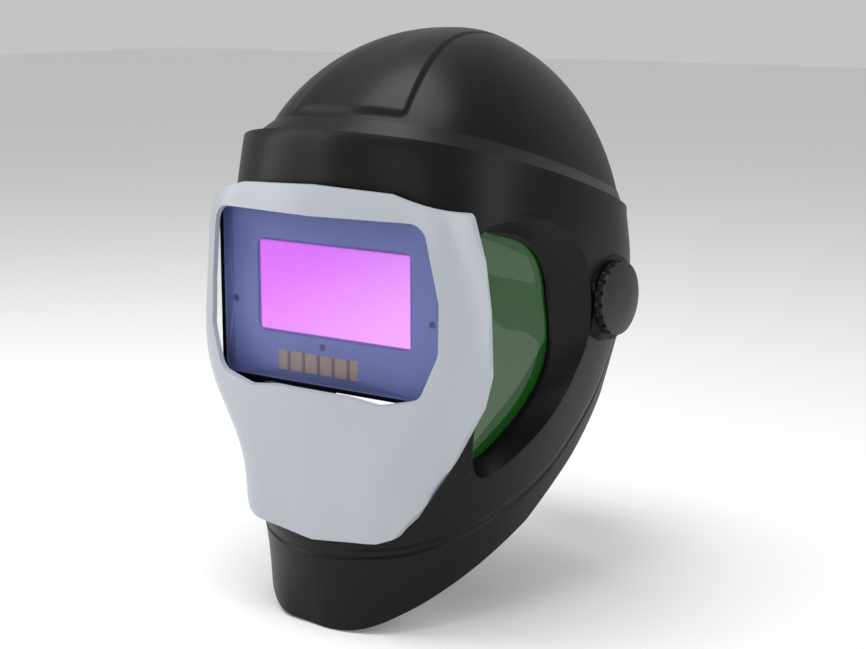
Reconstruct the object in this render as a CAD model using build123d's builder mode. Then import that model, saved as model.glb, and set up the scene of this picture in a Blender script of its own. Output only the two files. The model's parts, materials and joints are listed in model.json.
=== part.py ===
"""Flip-up auto-darkening welding helmet with its head harness.

Units are millimetres.  +X is the wearer's left, +Y is behind the wearer and +Z is up.
The origin is the middle of the tilt axis, between the two pivot knobs.  The mask hangs
nose-up: its brow line is level in planes that are tilted by LEAN about the X axis.
"""
import os
from math import cos, pi, radians, sin, tan

from build123d import *

os.makedirs("parts", exist_ok=True)

# ---------------------------------------------------------------- driving dimensions
LEAN = 17.7                 # pitch of the brow line against the row's horizontal
SHELL_WALL = 2.6            # moulded nylon wall
COVER_WALL = 3.0            # silver front cover
FIT = 0.3                   # clearance between parts that only meet
RUN = 0.06                  # radial clearance of a running fit

BROW = 54.5                 # level of the crisp brow edge
DOME_FOOT = 64.0            # level where the dome starts above the brow ledge
DOME_TOP = 144.5            # level of the crown
DOME_BASE = 30.0            # level of the dome's widest ring
DOME_WIDTH = 97.5           # half width of that ring
DOME_FRONT = 132.0          # its reach forward
DOME_BACK = 113.0           # its reach backward
REAR_EDGE = 36.0            # y of the shell's open rear edge

FILTER_WIDTH = 156.0        # auto-darkening cassette
FILTER_HEIGHT = 98.0
FILTER_DEPTH = 11.0
FILTER_FACE = -119.5        # y of its front face
FILTER_MID = 5.0            # z of its middle
VIEW_WIDTH = 107.0          # clear view through the lens
VIEW_HEIGHT = 53.0
VIEW_MID = 9.0              # z of the view's middle
PLATE = 1.5                 # protection plates
FRAME_WALL = 2.0            # frame that holds the cassette in the shell

PIVOT_FACE = 106.0          # x of the shell's outer pivot face
PIVOT_PAD = 98.5            # x of its inner face
PIVOT_BORE = 10.0           # radius of the shell's pivot hole
BOLT_RADIUS = 5.0
KNOB_RADIUS = 21.0
KNOB_DEPTH = 7.5
ARM_FACE = 82.4             # x of the harness arm's inner face
ARM_WALL = 3.4
CARRIAGE_WALL = 4.0
ARM_TRAVEL = 6.0            # fore-and-aft adjustment each way

HEAD_WIDTH = 80.0           # half width of the headband loop
HEAD_LENGTH = 92.0          # half length of it
BAND = 2.0                  # thickness of the harness bands
BAND_HEIGHT = 24.0
BAND_PITCH = 30.5           # slope of the loop, high at the forehead
BAND_MID = (0.0, 17.0, 14.0)
RATCHET_RADIUS = 19.0

SIDES = {"left": 1, "right": -1}


# ---------------------------------------------------------------- shared helpers
def level_plane(level):
    """A plane parallel to the brow line, at a height above the tilt axis."""
    lean = radians(LEAN)
    return Plane(origin=(0, level * sin(lean), level * cos(lean)), x_dir=(1, 0, 0),
                 z_dir=(0, sin(lean), cos(lean)))


def ring_points(half_width, mid, front, back, square, inset):
    """Points of a level section: a squared front half and a round rear half."""
    points = []
    for step in range(20):
        turn = 2 * pi * step / 20
        across, along = sin(turn), cos(turn)
        power = 2 / (square if along > 0 else 2.0)
        reach = front if along > 0 else back
        points.append((
            (half_width - inset) * abs(across) ** power * (1 if across > 0 else -1),
            mid - (reach - inset) * abs(along) ** power * (1 if along > 0 else -1),
        ))
    return points


def ring_face(plane, points):
    with BuildSketch(plane) as sketch:
        with BuildLine():
            Spline(*points, periodic=True)
        make_face()
    return sketch.sketch


# level, half width, middle, reach forward, reach back, squareness of the front
MASK_RINGS = [
    (-222, 54, -18, 50, 52, 2.2),
    (-190, 62, -20, 64, 62, 2.2),
    (-150, 75, -12, 88, 74, 2.2),
    (-113, 86, -6, 103, 88, 2.9),
    (-80, 94, -4, 112, 98, 3.6),
    (-40, 100, -8, 120, 108, 3.6),
    (0, 104.5, -12, 126, 114, 3.1),
    (30, 106, -18, 128, 112, 2.7),
    (BROW, 106, -28, 122, 104, 2.5),
]


def mask_form(inset):
    """The mask's outer form below the brow, or its inner form with an inset."""
    rings = [*MASK_RINGS[:-1], (BROW - inset, *MASK_RINGS[-1][1:])]
    with BuildPart() as form:
        loft([ring_face(level_plane(level), ring_points(*ring, inset)).face()
              for level, *ring in rings])
    return form.part


def dome_ring(level, inset):
    rise = max(0.0, (level - DOME_BASE) / (DOME_TOP - DOME_BASE))
    spread = (1 - rise ** 1.8) ** (1 / 1.8)
    return ring_points(DOME_WIDTH * spread, -13 - 7 * rise, DOME_FRONT * spread,
                       DOME_BACK * spread, 2.6, inset)


def dome_form(inset, foot):
    """The crown above the brow, closed at its pole."""
    rises = [0.0, 0.16, 0.34, 0.52, 0.7, 0.85, 0.95, 0.985]
    levels = [foot + (DOME_TOP - foot) * rise for rise in rises]
    sections = [ring_face(level_plane(level - inset * (rise > 0.9)), dome_ring(level, inset)).face()
                for level, rise in zip(levels, rises)]
    pole = level_plane(DOME_TOP - inset).from_local_coords(Vector(0, -20, 0))
    with BuildPart() as form:
        loft([*sections, Vertex(*pole)])
    return form.part


def side_prism(points, left=-150, right=150):
    """A prism across the helmet from an outline of (y, z) points in the side view."""
    with BuildPart() as prism:
        with BuildSketch(Plane.YZ.offset(left)):
            with BuildLine():
                Polyline(*points, close=True)
            make_face()
        extrude(amount=right - left)
    return prism.part


def front_prism(points, near, far, radius, taper=0.0):
    """A prism along Y from half an outline of (x, z) points, mirrored and rounded."""
    with BuildPart() as prism:
        with BuildSketch(Plane.XZ.offset(-near)) as outline:
            with BuildLine():
                Polyline(*points, *[(-x, z) for x, z in reversed(points) if x > 0], close=True)
            make_face()
            fillet([corner for corner in outline.vertices() if abs(corner.X) > 30], radius)
        extrude(amount=near - far, taper=taper)
    return prism.part


# ---------------------------------------------------------------- outlines of the mask
# (y, z) in the side view: the skirt's free edge, then up the open rear of the shell
FREE_EDGE = [(-160, -187), (-134, -174), (-120, -164.6), (-89, -147), (-48, -123), (-15, -91),
             (12, -60), (27, -28), (REAR_EDGE, 10)]
COVER_RIM = -109.5          # y of the silver cover's rear rim
COVER_OUTLINE = [(0, 69.5), (50, 67.5), (86, 57.5), (93.5, 33), (97, 8), (98.3, -26), (93.5, -44),
                 (51.5, -117), (42, -120.5), (0, -125)]
COVER_OPENING = [(0, 48.8), (68, 50.5), (75.5, 12), (75.5, -14), (66, -36), (44, -40.5), (24, -37.5),
                 (0, -37)]
# level, y of the middle, x and y of the crease between front and side, x at the rim
COVER_RINGS = [
    (84, -131, 60, -124, 78),
    (66, -138, 70, -129, 84),
    (45, -140.5, 80, -128, 91),
    (12, -141, 85, -125.5, 97),
    (-26, -141, 85, -127.5, 98.5),
    (-62, -141, 63, -134.5, 85),
    (-95, -141, 47, -138, 65),
    (-130, -139.5, 40, -134, 48),
]


def cover_form(inset):
    """The silver cover's outer form, or its inner form with an inset."""
    with BuildPart() as form:
        for level, middle, crease, crease_y, rim in COVER_RINGS:
            with BuildSketch(Plane.XY.offset(level)):
                with BuildLine():
                    half = [
                        (rim + 4 - 0.9 * inset, -92),
                        (rim - 0.8 * inset, -110 + 0.5 * inset),
                        (crease - 0.5 * inset, crease_y + 0.85 * inset),
                        (0.62 * crease, middle + 0.35 * (crease_y - middle) + inset),
                    ]
                    front = Spline(*half, (0, middle + inset), *[(-x, y) for x, y in reversed(half)])
                    Line(front @ 1, front @ 0)
                make_face()
        loft()
    return form.part


# ---------------------------------------------------------------- side window recess
# The pane's plane leans in towards the front and towards the chin.
PANE_PLANE = Plane(origin=(88, -42, 0), x_dir=(0.14, 1, 0), z_dir=(1, -0.14, -0.1))
PANE_THICK = 2.0
PANE_LAP = 0.6              # how far the pane laps past its sight edge
RECESS_FLOOR = 1.6
RECESS_DEPTH = 13.0         # height of the ridge above the pane's plane
# (y, z) of the pane's sight edge, and of the ridge that its bevel climbs to
PANE_EDGE = [(-97, 47), (-83, 45), (-66, 40), (-53, 31), (-45, 20), (-39, 2), (-34, -18),
             (-35, -36), (-43, -51), (-57, -65), (-74, -76), (-91, -81), (-98, -50), (-99, 0)]
RIDGE = [(-105, 64), (-92, 61), (-74, 56), (-50, 47), (-33, 33), (-21, 8), (-17, -14),
         (-24, -32), (-37, -50), (-55, -66), (-75, -80), (-95, -90), (-105, -58), (-106, 0)]


def pane_outline(points, grow=0.0):
    """Side-view points brought into the pane's plane, and moved outwards there by a margin."""
    flat = [PANE_PLANE.to_local_coords(Vector(88 + 0.14 * (y + 42) + 0.1 * z, y, z))
            for y, z in points]
    outline = []
    for index, point in enumerate(flat):
        along = flat[(index + 1) % len(flat)] - flat[index - 1]
        outward = Vector(-along.Y, along.X, 0).normalized()
        outline.append(point + outward * grow)
    return [(point.X, point.Y) for point in outline]


def pane_prism(low, high, grow=0.0):
    """A prism on the pane's sight edge, between two heights off its plane."""
    with BuildPart() as prism:
        with BuildSketch(PANE_PLANE.offset(low)):
            with BuildLine():
                Spline(*pane_outline(PANE_EDGE, grow), periodic=True)
            make_face()
        extrude(amount=high - low)
    return prism.part


def recess_form(low, grow=0.0):
    """The bevelled recess, from below the pane's plane out past the mask's surface."""
    inner = pane_outline(PANE_EDGE, grow)
    outer = pane_outline(RIDGE, grow)
    with BuildPart() as form:
        for height in (low, 2 * RECESS_DEPTH):
            share = height / RECESS_DEPTH
            points = [(a[0] + share * (b[0] - a[0]), a[1] + share * (b[1] - a[1]))
                      for a, b in zip(inner, outer)]
            with BuildSketch(PANE_PLANE.offset(height)):
                with BuildLine():
                    Spline(*points, periodic=True)
                make_face()
        loft()
    return form.part


def both_sides(part):
    return [part, mirror(part, about=Plane.YZ)]


def box_between(low, high):
    with BuildPart() as block:
        with Locations([tuple((a + b) / 2 for a, b in zip(low, high))]):
            Box(*[b - a for a, b in zip(low, high)])
    return block.part


# ================================================================ helmet shell
pane_seat = pane_prism(-12, -RECESS_FLOOR, grow=PANE_LAP + FIT)
surround_seat = recess_form(-RECESS_FLOOR, grow=SHELL_WALL + FIT / 2)
cover_seat = front_prism([(x + 0.4 if x else 0, z + 0.4 if z > 0 else z - 0.4)
                          for x, z in COVER_OUTLINE], COVER_RIM, -190, 5)
skirt_drop = side_prism([*FREE_EDGE, (REAR_EDGE, 190), (200, 190), (200, -260), (-160, -260)])
cavity_trim = side_prism([(-160, -215), (-80, -190), (20, -120), (REAR_EDGE + 20, 0),
                          (REAR_EDGE + 20, 190), (200, 190), (200, -260), (-160, -260)])

with BuildPart() as shell_skin:
    add(mask_form(0))
    add(dome_form(0, BROW - 8))
    loft([ring_face(level_plane(BROW - 2), ring_points(*MASK_RINGS[-1][1:], 2.5)).face(),
          ring_face(level_plane(DOME_FOOT), dome_ring(DOME_FOOT, -0.2)).face()])

with BuildPart() as shell_cavity:
    add(mask_form(SHELL_WALL))
    add(dome_form(SHELL_WALL, BROW - 16))

with BuildPart() as cover_space:
    add(cover_seat)
    add(cover_form(COVER_WALL + 0.4), mode=Mode.SUBTRACT)

with BuildPart() as cover_backing:
    add(cover_seat)
    add(cover_form(COVER_WALL + 0.4 + SHELL_WALL), mode=Mode.SUBTRACT)

with BuildPart() as hollow:
    add(shell_cavity.part)
    add(cavity_trim, mode=Mode.SUBTRACT)
    add(cover_backing.part, mode=Mode.SUBTRACT)

with BuildPart() as window_surround:
    add(recess_form(-RECESS_FLOOR, grow=SHELL_WALL))
    add(mask_form(0), mode=Mode.INTERSECT)
    add(recess_form(0), mode=Mode.SUBTRACT)
    add(pane_prism(-8, 4, grow=-2.5), mode=Mode.SUBTRACT)

with BuildPart() as pivot_pad_left:
    with BuildSketch(Plane.YZ.offset(PIVOT_PAD)):
        Circle(26)
    extrude(amount=PIVOT_FACE - PIVOT_PAD, taper=14)

aperture = box_between(
    (-FILTER_WIDTH / 2 - FRAME_WALL - FIT, -200, FILTER_MID - FILTER_HEIGHT / 2 - FRAME_WALL - FIT),
    (FILTER_WIDTH / 2 + FRAME_WALL + FIT, -60, FILTER_MID + FILTER_HEIGHT / 2 + FRAME_WALL + FIT))

with BuildPart() as helmet_shell:
    add(shell_skin.part)
    add(skirt_drop, mode=Mode.SUBTRACT)
    add(cover_space.part, mode=Mode.SUBTRACT)
    add(hollow.part, mode=Mode.SUBTRACT)
    add(aperture, mode=Mode.SUBTRACT)
    add(both_sides(pivot_pad_left.part))
    add(both_sides(surround_seat), mode=Mode.SUBTRACT)
    add(both_sides(pane_seat), mode=Mode.SUBTRACT)
    with Locations(Plane.YZ.offset(-150)):
        Cylinder(PIVOT_BORE, 300, align=(Align.CENTER, Align.CENTER, Align.MIN), mode=Mode.SUBTRACT)
helmet_shell.part.label = "helmet_shell"
export_step(helmet_shell.part, "parts/helmet_shell.step")

# ================================================================ front cover and filter
with BuildPart() as front_cover:
    add(cover_form(0))
    add(front_prism(COVER_OUTLINE, COVER_RIM, -190, 5), mode=Mode.INTERSECT)
    add(cover_form(COVER_WALL), mode=Mode.SUBTRACT)
    add(front_prism(COVER_OPENING, -119, -160, 7, taper=-12), mode=Mode.SUBTRACT)
front_cover.part.label = "front_cover"
export_step(front_cover.part, "parts/front_cover.step")

filter_low = FILTER_MID - FILTER_HEIGHT / 2
filter_high = FILTER_MID + FILTER_HEIGHT / 2
filter_back = FILTER_FACE + FILTER_DEPTH
half_filter = FILTER_WIDTH / 2

with BuildPart() as filter_frame:
    add(box_between((-half_filter - FRAME_WALL, FILTER_FACE - 1, filter_low - FRAME_WALL),
                    (half_filter + FRAME_WALL, filter_back + 2.2, filter_high + FRAME_WALL)))
    add(box_between((-half_filter - FIT, FILTER_FACE - 5, filter_low - FIT),
                    (half_filter + FIT, filter_back + FIT, filter_high + FIT)), mode=Mode.SUBTRACT)
    add(box_between((-half_filter + 8, FILTER_FACE, filter_low + 8),
                    (half_filter - 8, filter_back + 5, filter_high - 8)), mode=Mode.SUBTRACT)
filter_frame.part.label = "filter_frame"
export_step(filter_frame.part, "parts/filter_frame.step")


def view_sketch(y, grow):
    """The rounded view window, as a face at a depth."""
    with BuildSketch(Plane.XZ.offset(-y)) as view:
        with Locations((0, VIEW_MID)):
            RectangleRounded(VIEW_WIDTH + 2 * grow, VIEW_HEIGHT + 2 * grow, 6 + grow)
    return view.sketch


LENS_DEPTH = 5.0
LENS_SET = 0.8              # how far the lens sits behind the housing's face
PANEL_SIZE = (56.0, 11.0)
PANEL_PLACE = (-11.0, -32.5)
SENSORS = [(-69.5, -1.0), (66.5, -1.0), (-7.5, -22.2)]
SENSOR_RADIUS = 2.0

with BuildPart() as filter_housing:
    add(box_between((-half_filter, FILTER_FACE, filter_low), (half_filter, filter_back, filter_high)))
    fillet(filter_housing.edges().filter_by(Axis.Y), 6)
    extrude(view_sketch(filter_back + 1, 0), amount=FILTER_DEPTH + 3, mode=Mode.SUBTRACT)
    extrude(view_sketch(FILTER_FACE + LENS_SET + LENS_DEPTH, 2), amount=LENS_DEPTH, mode=Mode.SUBTRACT)
    with BuildSketch(Plane.XZ.offset(-FILTER_FACE)):
        with Locations(PANEL_PLACE):
            Rectangle(PANEL_SIZE[0] + 2 * RUN, PANEL_SIZE[1] + 2 * RUN)
        with Locations(*SENSORS):
            Circle(SENSOR_RADIUS + RUN)
    extrude(amount=-1.2, mode=Mode.SUBTRACT)
filter_housing.part.label = "filter_housing"
export_step(filter_housing.part, "parts/filter_housing.step")

with BuildPart() as filter_lens:
    extrude(view_sketch(FILTER_FACE + LENS_SET + LENS_DEPTH - RUN, 2 - RUN), amount=LENS_DEPTH - 2 * RUN)
filter_lens.part.label = "filter_lens"
export_step(filter_lens.part, "parts/filter_lens.step")

with BuildPart() as solar_panel:
    with BuildSketch(Plane.XZ.offset(-FILTER_FACE)):
        with Locations(PANEL_PLACE):
            Rectangle(*PANEL_SIZE)
    extrude(amount=-1.2)
solar_panel.part.label = "solar_panel"
export_step(solar_panel.part, "parts/solar_panel.step")

with BuildPart() as arc_sensors:
    with BuildSketch(Plane.XZ.offset(-FILTER_FACE)):
        with Locations(*SENSORS):
            Circle(SENSOR_RADIUS)
    extrude(amount=-1.2)
arc_sensors.part.label = "arc_sensors"
export_step(arc_sensors.part, "parts/arc_sensors.step")

with BuildPart() as outer_plate:
    add(box_between((-half_filter + 1, FILTER_FACE - PLATE, filter_low + 1),
                    (half_filter - 1, FILTER_FACE, filter_high - 1)))
    fillet(outer_plate.edges().filter_by(Axis.Y), 6)
outer_plate.part.label = "outer_protection_plate"
export_step(outer_plate.part, "parts/outer_protection_plate.step")

# The electronics sit behind the cassette, under the view, with the battery drawers at its ends.
CASE_BACK = filter_back + 9
CASE_LOW = filter_low + 9
CASE_HIGH = VIEW_MID - VIEW_HEIGHT / 2 - 5
BATTERY = (18.0, 6.0, 8.0)
CASE_HALF = 50.0
BUTTONS = {"shade": -24.0, "sensitivity": 0.0, "delay": 24.0}
BUTTON_SIZE = (12.0, 5.0)
BUTTON_TRAVEL = 0.8

with BuildPart() as control_case:
    add(box_between((-CASE_HALF, filter_back, CASE_LOW), (CASE_HALF, CASE_BACK, CASE_HIGH)))
    fillet(control_case.edges().group_by(Axis.Y)[-1], 1.5)
    for sign in SIDES.values():
        ends = sorted((sign * (CASE_HALF - BATTERY[0]), sign * (CASE_HALF + 5)))
        add(box_between((ends[0], CASE_BACK - 1.5 - BATTERY[1], CASE_LOW + 3),
                        (ends[1], CASE_BACK - 1.5, CASE_LOW + 3 + BATTERY[2])), mode=Mode.SUBTRACT)
    with BuildSketch(Plane.XZ.offset(-CASE_BACK)):
        with Locations(*[(x, (CASE_LOW + CASE_HIGH) / 2) for x in BUTTONS.values()]):
            RectangleRounded(BUTTON_SIZE[0], BUTTON_SIZE[1], 2)
    extrude(amount=4, mode=Mode.SUBTRACT)
control_case.part.label = "control_case"
export_step(control_case.part, "parts/control_case.step")

for use, x in BUTTONS.items():
    with BuildPart() as button:
        with BuildSketch(Plane.XZ.offset(-(CASE_BACK - 2.6))):
            with Locations((x, (CASE_LOW + CASE_HIGH) / 2)):
                RectangleRounded(BUTTON_SIZE[0] - FIT, BUTTON_SIZE[1] - FIT, 1.8)
        extrude(amount=-4.2)
        fillet(button.edges().group_by(Axis.Y)[-1], 0.6)
    button.part.label = f"{use}_button"
    export_step(button.part, f"parts/{use}_button.step")

with BuildPart() as battery_tray:
    end = CASE_HALF
    add(box_between((end - BATTERY[0] + FIT, CASE_BACK - 1.5 - BATTERY[1] + FIT / 2, CASE_LOW + 3 + FIT / 2),
                    (end, CASE_BACK - 1.5 - FIT / 2, CASE_LOW + 3 + BATTERY[2] - FIT / 2)))
    add(box_between((end + FIT / 2, CASE_BACK - 1.9 - BATTERY[1], CASE_LOW + 2),
                    (end + 1.8, CASE_BACK - 0.5, CASE_LOW + 4 + BATTERY[2])))
    add(box_between((end - 1, CASE_BACK - BATTERY[1], CASE_LOW + 4),
                    (end + 1, CASE_BACK - 3, CASE_LOW + 2 + BATTERY[2])))
for side, sign in SIDES.items():
    tray = battery_tray.part if sign > 0 else mirror(battery_tray.part, about=Plane.YZ)
    tray.label = f"battery_tray_{side}"
    export_step(tray, f"parts/battery_tray_{side}.step")

with BuildPart() as inner_plate:
    add(box_between((-VIEW_WIDTH / 2 - 5, filter_back + FIT / 10, CASE_HIGH + 0.5),
                    (VIEW_WIDTH / 2 + 5, filter_back + PLATE, VIEW_MID + VIEW_HEIGHT / 2 + 5)))
    fillet(inner_plate.edges().filter_by(Axis.Y), 3)
inner_plate.part.label = "inner_protection_plate"
export_step(inner_plate.part, "parts/inner_protection_plate.step")

# ================================================================ side windows
with BuildPart() as side_window:
    add(pane_prism(-RECESS_FLOOR - PANE_THICK, -RECESS_FLOOR, grow=PANE_LAP))

with BuildPart() as window_frame:
    add(pane_prism(-RECESS_FLOOR - PANE_THICK - 2.5, -RECESS_FLOOR - PANE_THICK, grow=PANE_LAP))
    add(pane_prism(-10, 0, grow=-4), mode=Mode.SUBTRACT)

for side, sign in SIDES.items():
    for name, piece in (("side_window", side_window.part), ("window_frame", window_frame.part),
                        ("window_surround", window_surround.part)):
        placed = piece if sign > 0 else mirror(piece, about=Plane.YZ)
        placed.label = f"{name}_{side}"
        export_step(placed, f"parts/{name}_{side}.step")

# ================================================================ pivot stack
CARRIAGE_FACE = ARM_FACE + ARM_WALL + FIT
HEAD_DEEP = 2.8             # bolt head, let into the carriage
STUD = 3.0                  # carriage studs that slide in the arm's slots
STUD_PLACES = [(-10, 0), (10, 0)]
STOP_FACE = CARRIAGE_FACE + CARRIAGE_WALL + FIT / 2
STOP_WALL = 3.0
WASHER_FACE = STOP_FACE + STOP_WALL + FIT / 2
WASHER_WALL = 2.2
FLANGE_FACE = WASHER_FACE + WASHER_WALL + FIT / 2
KNOB_FACE = PIVOT_FACE + FIT


def disc(start, end, radius):
    with BuildPart() as piece:
        with BuildSketch(Plane.YZ.offset(start)):
            Circle(radius)
        extrude(amount=end - start)
    return piece.part


with BuildPart() as side_arm:
    with BuildSketch(Plane.YZ.offset(ARM_FACE)):
        with Locations((3.5, 7)):
            RectangleRounded(53, 42, 14)
        with Locations(*STUD_PLACES):
            SlotOverall(2 * (ARM_TRAVEL + STUD + FIT), 2 * (STUD + FIT), mode=Mode.SUBTRACT)
    extrude(amount=ARM_WALL)

with BuildPart() as pivot_carriage:
    with BuildSketch(Plane.YZ.offset(CARRIAGE_FACE)):
        RectangleRounded(44, 28, 8)
        Circle(BOLT_RADIUS + RUN, mode=Mode.SUBTRACT)
    extrude(amount=CARRIAGE_WALL)
    with BuildSketch(Plane.YZ.offset(CARRIAGE_FACE)):
        RegularPolygon(8.2, 6)
    extrude(amount=HEAD_DEEP + RUN, mode=Mode.SUBTRACT)
    with BuildSketch(Plane.YZ.offset(ARM_FACE)):
        with Locations(*STUD_PLACES):
            Circle(STUD)
    extrude(amount=CARRIAGE_FACE - ARM_FACE)

with BuildPart() as pivot_bolt:
    with BuildSketch(Plane.YZ.offset(CARRIAGE_FACE)):
        RegularPolygon(8.0, 6)
    extrude(amount=HEAD_DEEP)
    add(disc(CARRIAGE_FACE, KNOB_FACE + 4, BOLT_RADIUS))

with BuildPart() as tilt_stop:
    with BuildSketch(Plane.YZ.offset(STOP_FACE)):
        Circle(14)
        with Locations((0, 13)):
            RectangleRounded(10, 12, 2)
        Circle(BOLT_RADIUS + RUN, mode=Mode.SUBTRACT)
    extrude(amount=STOP_WALL)

with BuildPart() as friction_washer:
    with BuildSketch(Plane.YZ.offset(WASHER_FACE)):
        Circle(15)
        Circle(BOLT_RADIUS + RUN, mode=Mode.SUBTRACT)
    extrude(amount=WASHER_WALL)

with BuildPart() as pivot_bush:
    add(disc(FLANGE_FACE, PIVOT_PAD - RUN, 14))
    add(disc(FLANGE_FACE, PIVOT_FACE, PIVOT_BORE - RUN))
    add(disc(FLANGE_FACE - 1, PIVOT_FACE + 1, BOLT_RADIUS + RUN), mode=Mode.SUBTRACT)

with BuildPart() as pivot_knob:
    with BuildSketch(Plane.YZ.offset(KNOB_FACE)):
        Circle(KNOB_RADIUS)
        with PolarLocations(KNOB_RADIUS + 1.2, 12):
            Circle(2.2, mode=Mode.SUBTRACT)
    extrude(amount=KNOB_DEPTH, taper=12)
    fillet(pivot_knob.edges().group_by(Axis.X)[-1], 1.5)
    add(disc(KNOB_FACE - 1, KNOB_FACE + 4.2, BOLT_RADIUS + RUN), mode=Mode.SUBTRACT)

for side, sign in SIDES.items():
    for name, piece in (("side_arm", side_arm), ("pivot_carriage", pivot_carriage),
                        ("pivot_bolt", pivot_bolt), ("tilt_stop", tilt_stop),
                        ("friction_washer", friction_washer), ("pivot_bush", pivot_bush),
                        ("pivot_knob", pivot_knob)):
        if name == "side_arm":
            continue
        placed = piece.part if sign > 0 else mirror(piece.part, about=Plane.YZ)
        placed.label = f"{name}_{side}"
        export_step(placed, f"parts/{name}_{side}.step")

# ================================================================ head harness
pitch = radians(BAND_PITCH)
BAND_PLANE = Plane(origin=BAND_MID, x_dir=(1, 0, 0), z_dir=(0, sin(pitch), cos(pitch)))
PAD = 5.0                   # sweatband thickness
PAD_GAP = 0.4
STRAP = 1.8
STRAP_FACE = HEAD_WIDTH - 3.4   # half width of the crown straps at their feet
STRAP_WIDTH = 13.0
PIN_RADIUS = 3.0
REACH = 130                 # longer than the harness, for its trimming blocks


def loop_band(inner, outer, height):
    """A ring that follows the headband, between two offsets from its inner face."""
    with BuildPart() as ring:
        with BuildSketch(BAND_PLANE.offset(-height / 2)):
            Ellipse(HEAD_WIDTH + outer, HEAD_LENGTH + outer)
            Ellipse(HEAD_WIDTH + inner, HEAD_LENGTH + inner, mode=Mode.SUBTRACT)
        extrude(amount=height)
    return ring.part


def band_block(low, high):
    """A block in the headband's own plane, between two corners."""
    with BuildPart() as block:
        with BuildSketch(BAND_PLANE.offset(low[2])):
            with Locations(((low[0] + high[0]) / 2, (low[1] + high[1]) / 2)):
                Rectangle(high[0] - low[0], high[1] - low[1])
        extrude(amount=high[2] - low[2])
    return block.part


def band_disc(start, end, radius, x=0.0):
    """A disc whose axis runs backwards in the headband's plane."""
    plane = Plane(origin=BAND_PLANE.from_local_coords(Vector(x, start, 0)), x_dir=(1, 0, 0),
                  z_dir=BAND_PLANE.y_dir)
    with BuildPart() as piece:
        with BuildSketch(plane):
            Circle(radius)
        extrude(amount=end - start)
    return piece.part


STRAPS = {"front": (4.0, -14.0, 72.0), "rear": (23.5, 20.0, 84.0)}   # y of the foot, lean, rise
strap_feet = [(y, BAND_MID[2] - (y - BAND_MID[1]) * tan(pitch)) for y, lean, rise in STRAPS.values()]


def pin_set(start, end, radius):
    with BuildPart() as pins:
        with BuildSketch(Plane.YZ.offset(start)):
            with Locations(*strap_feet):
                Circle(radius)
        extrude(amount=end - start)
    return pins.part


pin_holes = both_sides(pin_set(70, 100, PIN_RADIUS + RUN))

with BuildPart() as front_band:
    add(loop_band(0, BAND, BAND_HEIGHT))
    add(band_block((-REACH, 45, -30), (REACH, REACH, 30)), mode=Mode.SUBTRACT)
    add(pin_holes, mode=Mode.SUBTRACT)
front_band.part.label = "front_band"
export_step(front_band.part, "parts/front_band.step")

for side, sign in SIDES.items():
    with BuildPart() as rear_band:
        add(loop_band(BAND + FIT / 2, 2 * BAND, BAND_HEIGHT - 6))
        add(band_block((-REACH, -REACH, -30), (REACH, 30, 30)), mode=Mode.SUBTRACT)
        ends = sorted((sign * 8, -sign * REACH))
        add(band_block((ends[0], -REACH, -30), (ends[1], REACH, 30)), mode=Mode.SUBTRACT)
    rear_band.part.label = f"rear_band_{side}"
    export_step(rear_band.part, f"parts/rear_band_{side}.step")

    with BuildPart() as arm:
        add(side_arm.part if sign > 0 else mirror(side_arm.part, about=Plane.YZ))
        add(pin_holes, mode=Mode.SUBTRACT)
    arm.part.label = f"side_arm_{side}"
    export_step(arm.part, f"parts/side_arm_{side}.step")

for place, (y, lean, rise) in STRAPS.items():
    foot = (0, y, BAND_MID[2] - (y - BAND_MID[1]) * tan(pitch))
    upward = (0, sin(radians(lean)), cos(radians(lean)))
    across = Plane(origin=foot, x_dir=(1, 0, 0), z_dir=(0, -upward[2], upward[1]))
    with BuildPart() as strap:
        with BuildSketch(across.offset(-STRAP_WIDTH / 2)):
            Ellipse(STRAP_FACE, rise)
            Ellipse(STRAP_FACE - STRAP, rise - STRAP, mode=Mode.SUBTRACT)
            with Locations((0, -72)):
                Rectangle(220, 120, mode=Mode.SUBTRACT)
        extrude(amount=STRAP_WIDTH)
        add(pin_holes, mode=Mode.SUBTRACT)
    strap.part.label = f"crown_strap_{place}"
    export_step(strap.part, f"parts/crown_strap_{place}.step")

with BuildPart() as strap_pins:
    add(both_sides(pin_set(STRAP_FACE - STRAP - 1, ARM_FACE + ARM_WALL, PIN_RADIUS)))
strap_pins.part.label = "strap_pins"
export_step(strap_pins.part, "parts/strap_pins.step")

with BuildPart() as sweatband:
    add(loop_band(-PAD - PAD_GAP, -PAD_GAP, BAND_HEIGHT + 8))
    add(band_block((-REACH, -42, -30), (REACH, REACH, 30)), mode=Mode.SUBTRACT)
sweatband.part.label = "sweatband"
export_step(sweatband.part, "parts/sweatband.step")

HOUSING = (60.0, 11.0, 30.0)
housing_start = HEAD_LENGTH - 1.0
housing_end = housing_start + HOUSING[1]
with BuildPart() as ratchet_housing:
    add(band_block((-HOUSING[0] / 2, housing_start - 6, -HOUSING[2] / 2),
                   (HOUSING[0] / 2, housing_end, HOUSING[2] / 2)))
    fillet(ratchet_housing.edges().filter_by(lambda edge: abs(edge.tangent_at(0).X) < 0.1), 1.2)
    add(loop_band(BAND, 2 * BAND + FIT / 2, BAND_HEIGHT - 6 + FIT), mode=Mode.SUBTRACT)
    add(loop_band(-12, -1, 60), mode=Mode.SUBTRACT)
    add(band_disc(housing_start - 20, housing_end + 5, 4 + RUN), mode=Mode.SUBTRACT)
ratchet_housing.part.label = "ratchet_housing"
export_step(ratchet_housing.part, "parts/ratchet_housing.step")

with BuildPart() as ratchet_spindle:
    add(band_disc(housing_start + 6, housing_end + 8, 4))
ratchet_spindle.part.label = "ratchet_spindle"
export_step(ratchet_spindle.part, "parts/ratchet_spindle.step")

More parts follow.
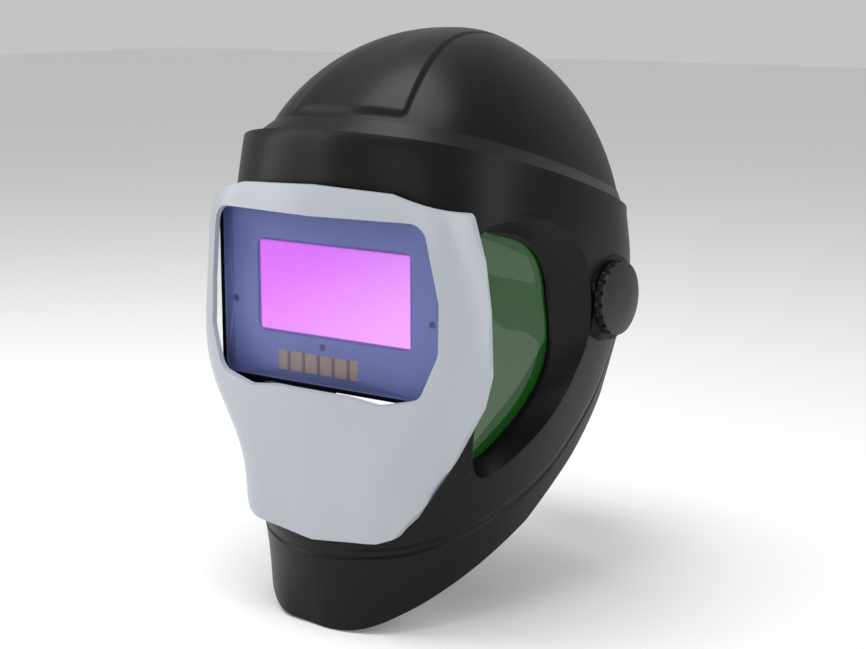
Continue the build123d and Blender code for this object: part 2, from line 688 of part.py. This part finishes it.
with BuildPart() as ratchet_knob:
    add(band_disc(housing_end + FIT, housing_end + 13, RATCHET_RADIUS))
    for step in range(16):
        angle = 2 * pi * step / 16
        groove_plane = Plane(
            origin=BAND_PLANE.from_local_coords(Vector(
                (RATCHET_RADIUS + 1) * cos(angle), housing_end, (RATCHET_RADIUS + 1) * sin(angle))),
            x_dir=(1, 0, 0), z_dir=BAND_PLANE.y_dir)
        with BuildSketch(groove_plane):
            Circle(2.2)
        extrude(amount=20, mode=Mode.SUBTRACT)
    add(band_disc(housing_end, housing_end + 8 + RUN, 4 + RUN), mode=Mode.SUBTRACT)
ratchet_knob.part.label = "ratchet_knob"
export_step(ratchet_knob.part, "parts/ratchet_knob.step")

with BuildPart() as rear_pad:
    add(loop_band(-1.4 - PAD, -1.4, BAND_HEIGHT + 4))
    add(band_block((-REACH, -REACH, -30), (REACH, 74, 30)), mode=Mode.SUBTRACT)
rear_pad.part.label = "rear_pad"
export_step(rear_pad.part, "parts/rear_pad.step")
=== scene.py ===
# %% [markdown]
# # A flip-up welding helmet
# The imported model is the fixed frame: every CAD node comes in at its place, in metres, and
# nothing here moves one. This lesson gives each node its finish, and draws the crown band and the
# groove of the shell as bump in its material, so they aren't in the mesh. It remodels the domed
# pivot knobs and the soft pads.

# %% Load the frame
import json
import math

import bpy
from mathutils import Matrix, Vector

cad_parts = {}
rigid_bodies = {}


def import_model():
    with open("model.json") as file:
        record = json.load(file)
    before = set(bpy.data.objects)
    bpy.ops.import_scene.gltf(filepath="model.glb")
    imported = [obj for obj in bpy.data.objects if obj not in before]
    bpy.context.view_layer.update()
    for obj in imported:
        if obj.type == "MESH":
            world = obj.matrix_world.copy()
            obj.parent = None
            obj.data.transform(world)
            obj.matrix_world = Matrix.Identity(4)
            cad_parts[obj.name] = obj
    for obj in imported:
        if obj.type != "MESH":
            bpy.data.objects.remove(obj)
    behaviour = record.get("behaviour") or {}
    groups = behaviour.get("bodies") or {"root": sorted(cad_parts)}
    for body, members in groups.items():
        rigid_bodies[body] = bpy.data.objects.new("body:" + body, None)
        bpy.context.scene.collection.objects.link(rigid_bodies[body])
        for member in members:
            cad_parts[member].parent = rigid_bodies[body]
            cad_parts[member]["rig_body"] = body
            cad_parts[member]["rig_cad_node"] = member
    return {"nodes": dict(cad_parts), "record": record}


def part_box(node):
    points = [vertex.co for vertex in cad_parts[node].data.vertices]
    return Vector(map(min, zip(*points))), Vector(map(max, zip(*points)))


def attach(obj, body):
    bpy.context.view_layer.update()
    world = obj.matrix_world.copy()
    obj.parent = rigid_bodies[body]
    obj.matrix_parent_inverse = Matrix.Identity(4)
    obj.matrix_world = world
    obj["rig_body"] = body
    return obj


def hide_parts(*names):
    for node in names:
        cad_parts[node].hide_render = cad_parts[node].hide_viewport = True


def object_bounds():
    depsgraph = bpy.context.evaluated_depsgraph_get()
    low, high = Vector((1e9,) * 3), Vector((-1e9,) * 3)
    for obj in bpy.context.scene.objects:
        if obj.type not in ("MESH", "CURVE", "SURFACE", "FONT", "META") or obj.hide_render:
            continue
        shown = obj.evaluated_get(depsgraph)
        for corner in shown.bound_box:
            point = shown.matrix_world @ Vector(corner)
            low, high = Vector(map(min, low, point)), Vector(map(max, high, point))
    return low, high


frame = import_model()
cad_box = [list(corner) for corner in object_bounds()]
bpy.ops.object.select_all(action="DESELECT")

# %% [markdown]
# ## Camera, floor and light
# The helmet is looked at from its left front, a little above level. The pale floor lies just
# under the chin skirt, and its far edge meets a plain backdrop. A large soft box overhead lights
# the crown, tall strips light the sides, and a weak box fills the front.

# %% Camera
EYE = Vector((0.5704, -0.8253, 0.1742))
LOOK_AZIMUTH = math.radians(35.5)
LOOK_DOWN = math.radians(11.4)
bpy.ops.object.camera_add(location=EYE, rotation=(math.pi / 2 - LOOK_DOWN, 0, LOOK_AZIMUTH))
camera = bpy.context.object
camera.data.sensor_width = 36
camera.data.lens = 70.67
camera.data.clip_start = 0.01
bpy.context.scene.camera = camera

# %% Floor
FLOOR_GAP = 0.0005
FLOOR_SIZE = 12
floor_z = cad_box[0][2] - FLOOR_GAP
bpy.ops.mesh.primitive_plane_add(size=FLOOR_SIZE, location=(0, 0, floor_z))
floor = bpy.context.object
floor.name = "studio_floor"
paint = bpy.data.materials.new("floor paint")
paint.use_nodes = True
paint.node_tree.nodes["Principled BSDF"].inputs["Base Color"].default_value = (0.9, 0.9, 0.9, 1)
paint.node_tree.nodes["Principled BSDF"].inputs["Roughness"].default_value = 0.8
floor.data.materials.append(paint)


def area_light(name, place, aim, size, power):
    """A soft box at a place, turned to face a point."""
    turn = (Vector(aim) - Vector(place)).to_track_quat("-Z", "Y").to_euler()
    bpy.ops.object.light_add(type="AREA", location=place, rotation=turn)
    lamp = bpy.context.object
    lamp.name = name
    lamp.data.shape = "RECTANGLE"
    lamp.data.size, lamp.data.size_y = size
    lamp.data.energy = power
    return lamp


# %% Lights
AIM = (0, -0.02, 0.0)
area_light("top_box", (-0.1, -0.25, 1.1), AIM, (1.0, 0.8), 12)
area_light("left_strip", (-1.0, -0.7, 0.35), AIM, (0.35, 1.2), 5)
area_light("right_strip", (1.2, -0.2, 0.3), AIM, (0.5, 1.0), 4)
area_light("front_fill", (0.2, -1.6, 0.3), AIM, (1.0, 0.8), 3)

world = bpy.data.worlds.new("studio")
bpy.context.scene.world = world
world.use_nodes = True
world.node_tree.nodes["Background"].inputs["Color"].default_value = (1, 1, 1, 1)
world.node_tree.nodes["Background"].inputs["Strength"].default_value = 0.55
bpy.context.scene.view_settings.view_transform = "Standard"

# %% [markdown]
# ## Shared surface effects
# Moulded plastic, lacquer and nylon all have a fine grain that breaks up their gloss, and a
# little dust. Each effect is a node group, made once and placed in every
# material with its own values, so the pieces look as if they had lived in one workshop.

# %% Node group helpers
def start_group(name, inputs, outputs):
    """A node group with named sockets: (name, kind, value) in, (name, kind) out."""
    group = bpy.data.node_groups.new(name, "ShaderNodeTree")
    for label, kind, value in inputs:
        socket = group.interface.new_socket(label, in_out="INPUT", socket_type=f"NodeSocket{kind}")
        socket.default_value = value
    for label, kind in outputs:
        group.interface.new_socket(label, in_out="OUTPUT", socket_type=f"NodeSocket{kind}")
    return group, group.nodes.new("NodeGroupInput"), group.nodes.new("NodeGroupOutput")


def node(tree, kind, **settings):
    made = tree.nodes.new(f"ShaderNode{kind}")
    for key, value in settings.items():
        if key.startswith("in_"):
            made.inputs[key[3:].replace("_", " ")].default_value = value
        else:
            setattr(made, key, value)
    return made


def join(tree, start, out, end, into):
    tree.links.new(start.outputs[out], end.inputs[into])


def calc(tree, operation, *values, clamp=False):
    """A Math node fed by sockets or plain numbers. Returns its output."""
    step = tree.nodes.new("ShaderNodeMath")
    step.operation = operation
    step.use_clamp = clamp
    for socket, value in zip(step.inputs, values):
        if isinstance(value, bpy.types.NodeSocket):
            tree.links.new(value, socket)
        else:
            socket.default_value = value
    return step.outputs[0]


def rise_between(tree, value, low, high):
    """0 below low, 1 above high, and a smooth step between them."""
    step = tree.nodes.new("ShaderNodeMapRange")
    step.interpolation_type = "SMOOTHSTEP"
    tree.links.new(value, step.inputs["Value"])
    step.inputs["From Min"].default_value = low
    step.inputs["From Max"].default_value = high
    return step.outputs["Result"]


# %% Moulded grain: gloss that varies a little, and a fine bump
grain, inside, result = start_group(
    "moulded grain",
    [("Scale", "Float", 900.0), ("Roughness", "Float", 0.35), ("Spread", "Float", 0.08),
     ("Depth", "Float", 0.15)],
    [("Roughness", "Float"), ("Normal", "Vector")])
place = node(grain, "TexCoord")
fine = node(grain, "TexNoise", in_Detail=3.0)
join(grain, place, "Object", fine, "Vector")
join(grain, inside, "Scale", fine, "Scale")
broad = node(grain, "TexNoise", in_Scale=14.0, in_Detail=4.0)
join(grain, place, "Object", broad, "Vector")
centred = node(grain, "Math", operation="SUBTRACT")
join(grain, broad, "Fac", centred, 0)
centred.inputs[1].default_value = 0.5
spread = node(grain, "Math", operation="MULTIPLY_ADD")
join(grain, centred, "Value", spread, 0)
join(grain, inside, "Spread", spread, 1)
join(grain, inside, "Roughness", spread, 2)
join(grain, spread, "Value", result, "Roughness")
bump = node(grain, "Bump", in_Distance=0.0002)
join(grain, fine, "Fac", bump, "Height")
join(grain, inside, "Depth", bump, "Strength")
join(grain, bump, "Normal", result, "Normal")

# %% Dust: a pale film that settles on faces that look up
dust, inside, result = start_group(
    "settled dust",
    [("Color", "Color", (0, 0, 0, 1)), ("Dust", "Color", (0.4, 0.38, 0.35, 1)), ("Amount", "Float", 0.1)],
    [("Color", "Color")])
place = node(dust, "TexCoord")
facing = node(dust, "NewGeometry")
split = node(dust, "SeparateXYZ")
join(dust, facing, "Normal", split, "Vector")
cloud = node(dust, "TexNoise", in_Scale=30.0, in_Detail=6.0)
join(dust, place, "Object", cloud, "Vector")
film = node(dust, "MapRange", in_From_Min=0.45, in_From_Max=0.8)
join(dust, cloud, "Fac", film, "Value")
upward = node(dust, "Math", operation="MULTIPLY", use_clamp=True)
join(dust, split, "Z", upward, 0)
join(dust, film, "Result", upward, 1)
share = node(dust, "Math", operation="MULTIPLY", use_clamp=True)
join(dust, upward, "Value", share, 0)
join(dust, inside, "Amount", share, 1)
blend_colour = node(dust, "Mix", data_type="RGBA")
tree_in = [socket for socket in blend_colour.inputs if socket.enabled]
join(dust, share, "Value", blend_colour, 0)
dust.links.new(inside.outputs["Color"], tree_in[1])
dust.links.new(inside.outputs["Dust"], tree_in[2])
dust.links.new([s for s in blend_colour.outputs if s.enabled][0], result.inputs["Color"])


# %% Moulded relief: the raised crown band and the groove above the chin skirt
LEAN = math.radians(17.7)
GROOVE_LINE = [(0.0, 0.09), (0.12, 0.13), (0.23, 0.16), (0.45, 0.26), (0.62, 0.37), (0.74, 0.50),
               (0.87, 0.66), (0.94, 0.79), (1.0, 0.93)]   # share of length, share of height
GROOVE_FROM, GROOVE_LENGTH, GROOVE_LOW, GROOVE_HEIGHT = -0.160, 0.190, -0.150, 0.150
GROOVE_END = 0.030                  # y where the groove stops
GROOVE_SIDE = (0.0008, 0.0038)      # distance from the line where its side starts and ends
BAND_HALF, BAND_WIDENS = 0.022, 0.018
BAND_WIDENS_OVER = (0.02, 0.13)     # reach forward over which the band widens
BAND_STEP = 0.0025                  # half the width of the band's sloping edge
BAND_STARTS = (0.066, 0.073)        # level where the band rises out of the brow

relief, inside, result = start_group(
    "moulded relief", [("Normal", "Vector", (0, 0, 0)), ("Rise", "Float", 0.002)],
    [("Normal", "Vector")])
place = node(relief, "TexCoord")
split = node(relief, "SeparateXYZ")
join(relief, place, "Object", split, "Vector")
across, along, height = split.outputs
level = calc(relief, "ADD", calc(relief, "MULTIPLY", along, math.sin(LEAN)),
             calc(relief, "MULTIPLY", height, math.cos(LEAN)))
spread_forward = rise_between(relief, calc(relief, "MULTIPLY", along, -1.0), *BAND_WIDENS_OVER)
band_half = calc(relief, "MULTIPLY_ADD", spread_forward, BAND_WIDENS, BAND_HALF)
past_band = calc(relief, "SUBTRACT", calc(relief, "ABSOLUTE", across), band_half)
band = calc(relief, "MULTIPLY",
            calc(relief, "SUBTRACT", 1.0, rise_between(relief, past_band, -BAND_STEP, BAND_STEP)),
            rise_between(relief, level, *BAND_STARTS))
line = relief.nodes.new("ShaderNodeFloatCurve")
curve = line.mapping.curves[0]
curve.points[0].location = GROOVE_LINE[0]
curve.points[1].location = GROOVE_LINE[-1]
for point in GROOVE_LINE[1:-1]:
    curve.points.new(*point)
line.mapping.update()
relief.links.new(calc(relief, "DIVIDE", calc(relief, "SUBTRACT", along, GROOVE_FROM), GROOVE_LENGTH,
                      clamp=True), line.inputs["Value"])
line_height = calc(relief, "MULTIPLY_ADD", line.outputs["Value"], GROOVE_HEIGHT, GROOVE_LOW)
off_line = calc(relief, "ABSOLUTE", calc(relief, "SUBTRACT", height, line_height))
groove = calc(relief, "MULTIPLY",
              calc(relief, "SUBTRACT", 1.0, rise_between(relief, off_line, *GROOVE_SIDE)),
              calc(relief, "LESS_THAN", along, GROOVE_END))
surface_height = calc(relief, "SUBTRACT", band, groove)
bump = node(relief, "Bump")
relief.links.new(surface_height, bump.inputs["Height"])
join(relief, inside, "Rise", bump, "Distance")
join(relief, inside, "Normal", bump, "Normal")
join(relief, bump, "Normal", result, "Normal")

# %% Coated lens: magenta with a painted reflection that pales it to the lower right, inside a thin dark border
BORDER_X = (0.0512, 0.0522)         # half width where the dark border fades in
BORDER_Z = (0.0244, 0.0254)         # half height where it fades in
VIEW_MIDDLE = 0.009                 # height of the view's middle

lens_low, lens_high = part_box("filter_lens")
lens_tint_and_sheen, inside, result = start_group("lens tint and painted sheen", [], [("Color", "Color")])
place = node(lens_tint_and_sheen, "TexCoord")
split = node(lens_tint_and_sheen, "SeparateXYZ")
join(lens_tint_and_sheen, place, "Object", split, "Vector")
width, height = lens_high.x - lens_low.x, lens_high.z - lens_low.z
share_x = calc(lens_tint_and_sheen, "DIVIDE", calc(lens_tint_and_sheen, "SUBTRACT", split.outputs["X"], lens_low.x), width)
share_z = calc(lens_tint_and_sheen, "DIVIDE", calc(lens_tint_and_sheen, "SUBTRACT", split.outputs["Z"], lens_low.z), height)
# Painted reflection: along this slope the coating's magenta pales towards the lower right.
sheen_slope = calc(lens_tint_and_sheen, "MULTIPLY_ADD", share_x, 0.6, calc(lens_tint_and_sheen, "MULTIPLY", share_z, -0.5))
ramp = node(lens_tint_and_sheen, "ValToRGB")
lens_tint_and_sheen.links.new(rise_between(lens_tint_and_sheen, sheen_slope, -0.35, 0.6), ramp.inputs["Fac"])
ramp.color_ramp.elements[0].color = (0.75, 0.12, 0.9, 1)
ramp.color_ramp.elements[1].color = (0.9, 0.36, 0.92, 1)
edge_x = rise_between(lens_tint_and_sheen, calc(lens_tint_and_sheen, "ABSOLUTE", split.outputs["X"]), *BORDER_X)
from_middle = calc(lens_tint_and_sheen, "ABSOLUTE", calc(lens_tint_and_sheen, "SUBTRACT", split.outputs["Z"], VIEW_MIDDLE))
border = calc(lens_tint_and_sheen, "MAXIMUM", edge_x, rise_between(lens_tint_and_sheen, from_middle, *BORDER_Z))
rimmed = node(lens_tint_and_sheen, "Mix", data_type="RGBA")
colours = [socket for socket in rimmed.inputs if socket.enabled]
lens_tint_and_sheen.links.new(border, colours[0])
lens_tint_and_sheen.links.new(ramp.outputs["Color"], colours[1])
colours[2].default_value = (0.09, 0.02, 0.22, 1)
lens_tint_and_sheen.links.new([s for s in rimmed.outputs if s.enabled][0], result.inputs["Color"])

# %% Solar cells: narrow tan strips between dark lines
cells, inside, result = start_group(
    "cell strips", [("Scale", "Float", 30.0)], [("Color", "Color")])
place = node(cells, "TexCoord")
strips = node(cells, "TexWave", wave_type="BANDS", bands_direction="X")
join(cells, place, "Object", strips, "Vector")
join(cells, inside, "Scale", strips, "Scale")
ramp = node(cells, "ValToRGB")
join(cells, strips, "Fac", ramp, "Fac")
ramp.color_ramp.elements[0].position = 0.05
ramp.color_ramp.elements[0].color = (0.12, 0.08, 0.06, 1)
ramp.color_ramp.elements[1].position = 0.2
ramp.color_ramp.elements[1].color = (0.3, 0.21, 0.15, 1)
join(cells, ramp, "Color", result, "Color")


# %% [markdown]
# ## Finishes
# Each finish is one Principled shader. The groups feed its colour, roughness and normal, and
# what is the same all over the piece is set on the shader's own sockets.

# %% A plain plastic or painted finish
def finish(name, colour, roughness=0.4, grain_scale=900.0, spread=0.08, depth=0.15, dusting=0.1,
           metallic=0.0, coat=0.0, coat_roughness=0.1, specular=0.5):
    """A finish with moulded grain and settled dust."""
    material = bpy.data.materials.new(name)
    material.use_nodes = True
    tree = material.node_tree
    shader = tree.nodes["Principled BSDF"]
    shader.inputs["Metallic"].default_value = metallic
    shader.inputs["Coat Weight"].default_value = coat
    shader.inputs["Coat Roughness"].default_value = coat_roughness
    shader.inputs["Specular IOR Level"].default_value = specular
    surface = tree.nodes.new("ShaderNodeGroup")
    surface.node_tree = grain
    surface.inputs["Scale"].default_value = grain_scale
    surface.inputs["Roughness"].default_value = roughness
    surface.inputs["Spread"].default_value = spread
    surface.inputs["Depth"].default_value = depth
    film = tree.nodes.new("ShaderNodeGroup")
    film.node_tree = dust
    film.inputs["Color"].default_value = (*colour, 1)
    film.inputs["Amount"].default_value = dusting
    join(tree, surface, "Roughness", shader, "Roughness")
    join(tree, surface, "Normal", shader, "Normal")
    join(tree, film, "Color", shader, "Base Color")
    return material


def place_group(material, group, links, values=()):
    """Places a group in a finish, and joins its outputs to the shader's sockets."""
    tree = material.node_tree
    placed = tree.nodes.new("ShaderNodeGroup")
    placed.node_tree = group
    for label, value in values:
        placed.inputs[label].default_value = value
    for out, into in links:
        tree.links.new(placed.outputs[out], tree.nodes["Principled BSDF"].inputs[into])
    return placed


def clear_finish(name, colour, alpha, roughness=0.04):
    """A see-through moulded plate."""
    material = finish(name, colour, roughness=roughness, spread=0.02, depth=0.02, dusting=0.0)
    shader = material.node_tree.nodes["Principled BSDF"]
    shader.inputs["Alpha"].default_value = alpha
    return material


shell_black = finish("shell black", (0.0012, 0.0012, 0.0015), roughness=0.38, grain_scale=1400,
                     depth=0.08, dusting=0.004, specular=0.2)
carved = place_group(shell_black, relief, [("Normal", "Normal")], [("Rise", 0.0018)])
grain_node = next(n for n in shell_black.node_tree.nodes if n.type == "GROUP" and n.node_tree == grain)
shell_black.node_tree.links.new(grain_node.outputs["Normal"], carved.inputs["Normal"])

filter_glass = finish("filter glass", (0.8, 0.32, 0.95), roughness=0.16, spread=0.02, depth=0.0,
                      dusting=0.0, metallic=0.35)
# The lens colour also drives a weak emission: a painted glow that stands in for the coating's reflection.
place_group(filter_glass, lens_tint_and_sheen, [("Color", "Base Color"), ("Color", "Emission Color")])
filter_glass.node_tree.nodes["Principled BSDF"].inputs["Emission Strength"].default_value = 0.25
solar_cell = finish("solar cell", (0.3, 0.21, 0.15), roughness=0.3, dusting=0.0)
place_group(solar_cell, cells, [("Color", "Base Color")])

FINISHES = {
    "shell_black": shell_black,
    "cover_silver": finish("cover silver", (0.36, 0.39, 0.42), roughness=0.34, spread=0.05, depth=0.04,
                           dusting=0.02, coat=0.15, coat_roughness=0.25),
    "clear_plate": clear_finish("clear plate", (0.35, 0.38, 0.8), alpha=0.1),
    "cassette_grey": finish("cassette grey", (0.11, 0.14, 0.36), roughness=0.5, dusting=0.02),
    "filter_glass": filter_glass,
    "solar_cell": solar_cell,
    "sensor_dark": finish("sensor dark", (0.02, 0.02, 0.05), roughness=0.1, dusting=0.0),
    "case_black": finish("case black", (0.01, 0.01, 0.011), roughness=0.5),
    "button_grey": finish("button grey", (0.16, 0.165, 0.18), roughness=0.6),
    "green_pane": clear_finish("green pane", (0.006, 0.07, 0.004), alpha=0.8),
    "friction_nylon": finish("friction nylon", (0.5, 0.5, 0.47), roughness=0.5),
    "knob_black": finish("knob black", (0.004, 0.004, 0.0045), roughness=0.42, depth=0.2, dusting=0.02),
    "harness_green": finish("harness green", (0.2, 0.4, 0.1), roughness=0.5),
    "harness_black": finish("harness black", (0.012, 0.012, 0.013), roughness=0.5),
    "bolt_steel": finish("bolt steel", (0.55, 0.55, 0.56), roughness=0.3, metallic=1.0),
    "sweat_fabric": finish("sweat fabric", (0.02, 0.02, 0.023), roughness=0.9, depth=0.6, dusting=0.0),
}

# %% Give every CAD node its finish
slots = {entry["node"]: entry["material_slot"] for entry in frame["record"]["subparts"]}
for name, slot_name in slots.items():
    piece = frame["nodes"][name]
    piece.data.materials.clear()
    piece.data.materials.append(FINISHES[slot_name])
print("finished nodes:", len(slots))

# %% [markdown]
# ## Domed pivot knobs
# Each tilt knob is a cap with a softly domed face and finger flutes round its rim. A cylinder
# of the CAD knob's size is inset ring by ring for the dome, and the flutes are pushed in.

# %% Model both knobs
FLUTES = 20
FACES_PER_FLUTE = 6
DOME_RISES = (0.36, 0.28, 0.2, 0.12, 0.04)
DOME_INSET = 0.16                   # share of the radius taken by each ring
RIM_SHARE = 0.66                    # share of the depth that is straight rim
FLUTE_SHARE = 0.34
FLUTE_DEPTH = 0.0009
END_FACE_AREA = 1e-4                # only the end face is larger


def pick_faces(piece, wanted):
    """Selects the faces that a test names, in edit mode."""
    bpy.ops.object.mode_set(mode="EDIT")
    bpy.ops.mesh.select_mode(type="FACE")
    bpy.ops.mesh.select_all(action="DESELECT")
    bpy.ops.object.mode_set(mode="OBJECT")
    for face in piece.data.polygons:
        face.select = wanted(face)
    bpy.ops.object.mode_set(mode="EDIT")


def domed_knob(side, sign):
    """A domed, fluted cap in the place of one CAD knob."""
    low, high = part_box(f"pivot_knob_{side}")
    size, middle = high - low, (low + high) / 2
    rim = size.x * RIM_SHARE
    base = Vector((low.x if sign > 0 else high.x, middle.y, middle.z))
    bpy.ops.mesh.primitive_cylinder_add(
        vertices=FLUTES * FACES_PER_FLUTE, radius=size.y / 2, depth=rim,
        location=base + Vector((sign * rim / 2, 0, 0)), rotation=(0, sign * math.pi / 2, 0))
    knob = bpy.context.object
    knob.name = f"tilt_knob_{side}"
    knob.data.name = knob.name
    bpy.ops.object.transform_apply(location=True, rotation=True, scale=True)

    def in_flute(face):
        turn = math.atan2(face.normal.z, face.normal.y) / (2 * math.pi) * FLUTES
        return abs(face.normal.x) < 0.5 and (turn % 1.0) < FLUTE_SHARE

    pick_faces(knob, in_flute)
    bpy.ops.mesh.extrude_region_shrink_fatten(TRANSFORM_OT_shrink_fatten={"value": -FLUTE_DEPTH})
    pick_faces(knob, lambda face: face.normal.x * sign > 0.9 and face.area > END_FACE_AREA)
    for rise in DOME_RISES:
        bpy.ops.mesh.inset(thickness=size.y / 2 * DOME_INSET)
        bpy.ops.transform.translate(value=(sign * (size.x - rim) * rise, 0, 0))
    bpy.ops.object.mode_set(mode="OBJECT")
    soften = knob.modifiers.new("soften", "BEVEL")
    soften.width = 0.0004
    soften.segments = 2
    soften.limit_method = "ANGLE"
    bpy.ops.object.modifier_apply(modifier=soften.name)
    bpy.ops.object.shade_smooth_by_angle(angle=math.radians(35))
    knob.data.materials.append(FINISHES["knob_black"])
    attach(knob, f"knob_{side}")
    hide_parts(f"pivot_knob_{side}")


bpy.ops.object.select_all(action="DESELECT")
domed_knob("left", 1)
domed_knob("right", -1)

# %% [markdown]
# ## Soft pads
# The sweatband and the nape pad are foam with a knitted face. A foam pad swells between its
# stitched edges, which a short cloth simulation under a little pressure gives better than any
# hand-made bulge. The pad starts slightly small, and no point may move further than a cap.

# %% Copy and remesh a CAD node
def moulded_copy(name, source, voxel, smoothing):
    """One even mesh from a copy of a CAD node, at rest in the same place."""
    bpy.ops.object.select_all(action="DESELECT")
    frame["nodes"][source].select_set(True)
    bpy.context.view_layer.objects.active = frame["nodes"][source]
    bpy.ops.object.duplicate()
    piece = bpy.context.object
    piece.parent = None
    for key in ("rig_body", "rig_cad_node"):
        del piece[key]
    piece.name = name
    piece.data.name = name
    bpy.ops.object.mode_set(mode="EDIT")
    bpy.ops.mesh.select_all(action="SELECT")
    bpy.ops.mesh.remove_doubles(threshold=0.00001)
    bpy.ops.object.mode_set(mode="OBJECT")
    remesh = piece.modifiers.new("even skin", "REMESH")
    remesh.mode = "VOXEL"
    remesh.voxel_size = voxel
    bpy.ops.object.modifier_apply(modifier=remesh.name)
    relax = piece.modifiers.new("mould radius", "SMOOTH")
    relax.factor = 0.5
    relax.iterations = smoothing
    bpy.ops.object.modifier_apply(modifier=relax.name)
    bpy.ops.object.shade_smooth()
    return piece


# %% Puff a pad up with a pressure simulation
def swollen_pad(name, source, body, voxel=0.0018, shrink=0.0006, cap=0.0012):
    """A foam pad: a remeshed copy of its CAD solid, blown up a little under pressure."""
    pad = moulded_copy(name, source, voxel=voxel, smoothing=2)
    normals = [vertex.normal.copy() for vertex in pad.data.vertices]
    for vertex, normal in zip(pad.data.vertices, normals):
        vertex.co -= normal * shrink
    start = [vertex.co.copy() for vertex in pad.data.vertices]
    puff = pad.modifiers.new("puff", "CLOTH")
    puff.settings.use_pressure = True
    puff.settings.uniform_pressure_force = 4.0
    puff.settings.effector_weights.gravity = 0.0
    puff.settings.quality = 4
    for step in range(1, 21):
        bpy.context.scene.frame_set(step)
    bpy.context.view_layer.objects.active = pad
    bpy.ops.object.modifier_apply(modifier=puff.name)
    bpy.context.scene.frame_set(1)
    for vertex, origin in zip(pad.data.vertices, start):
        move = vertex.co - origin
        if move.length > cap:
            vertex.co = origin + move.normalized() * cap
    bpy.ops.object.shade_smooth()
    pad.data.materials.clear()
    pad.data.materials.append(FINISHES["sweat_fabric"])
    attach(pad, body)
    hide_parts(source)
    return pad


# %% The two pads
swollen_pad("brow_sweatband", "sweatband", "harness")
swollen_pad("nape_pad", "rear_pad", "harness")
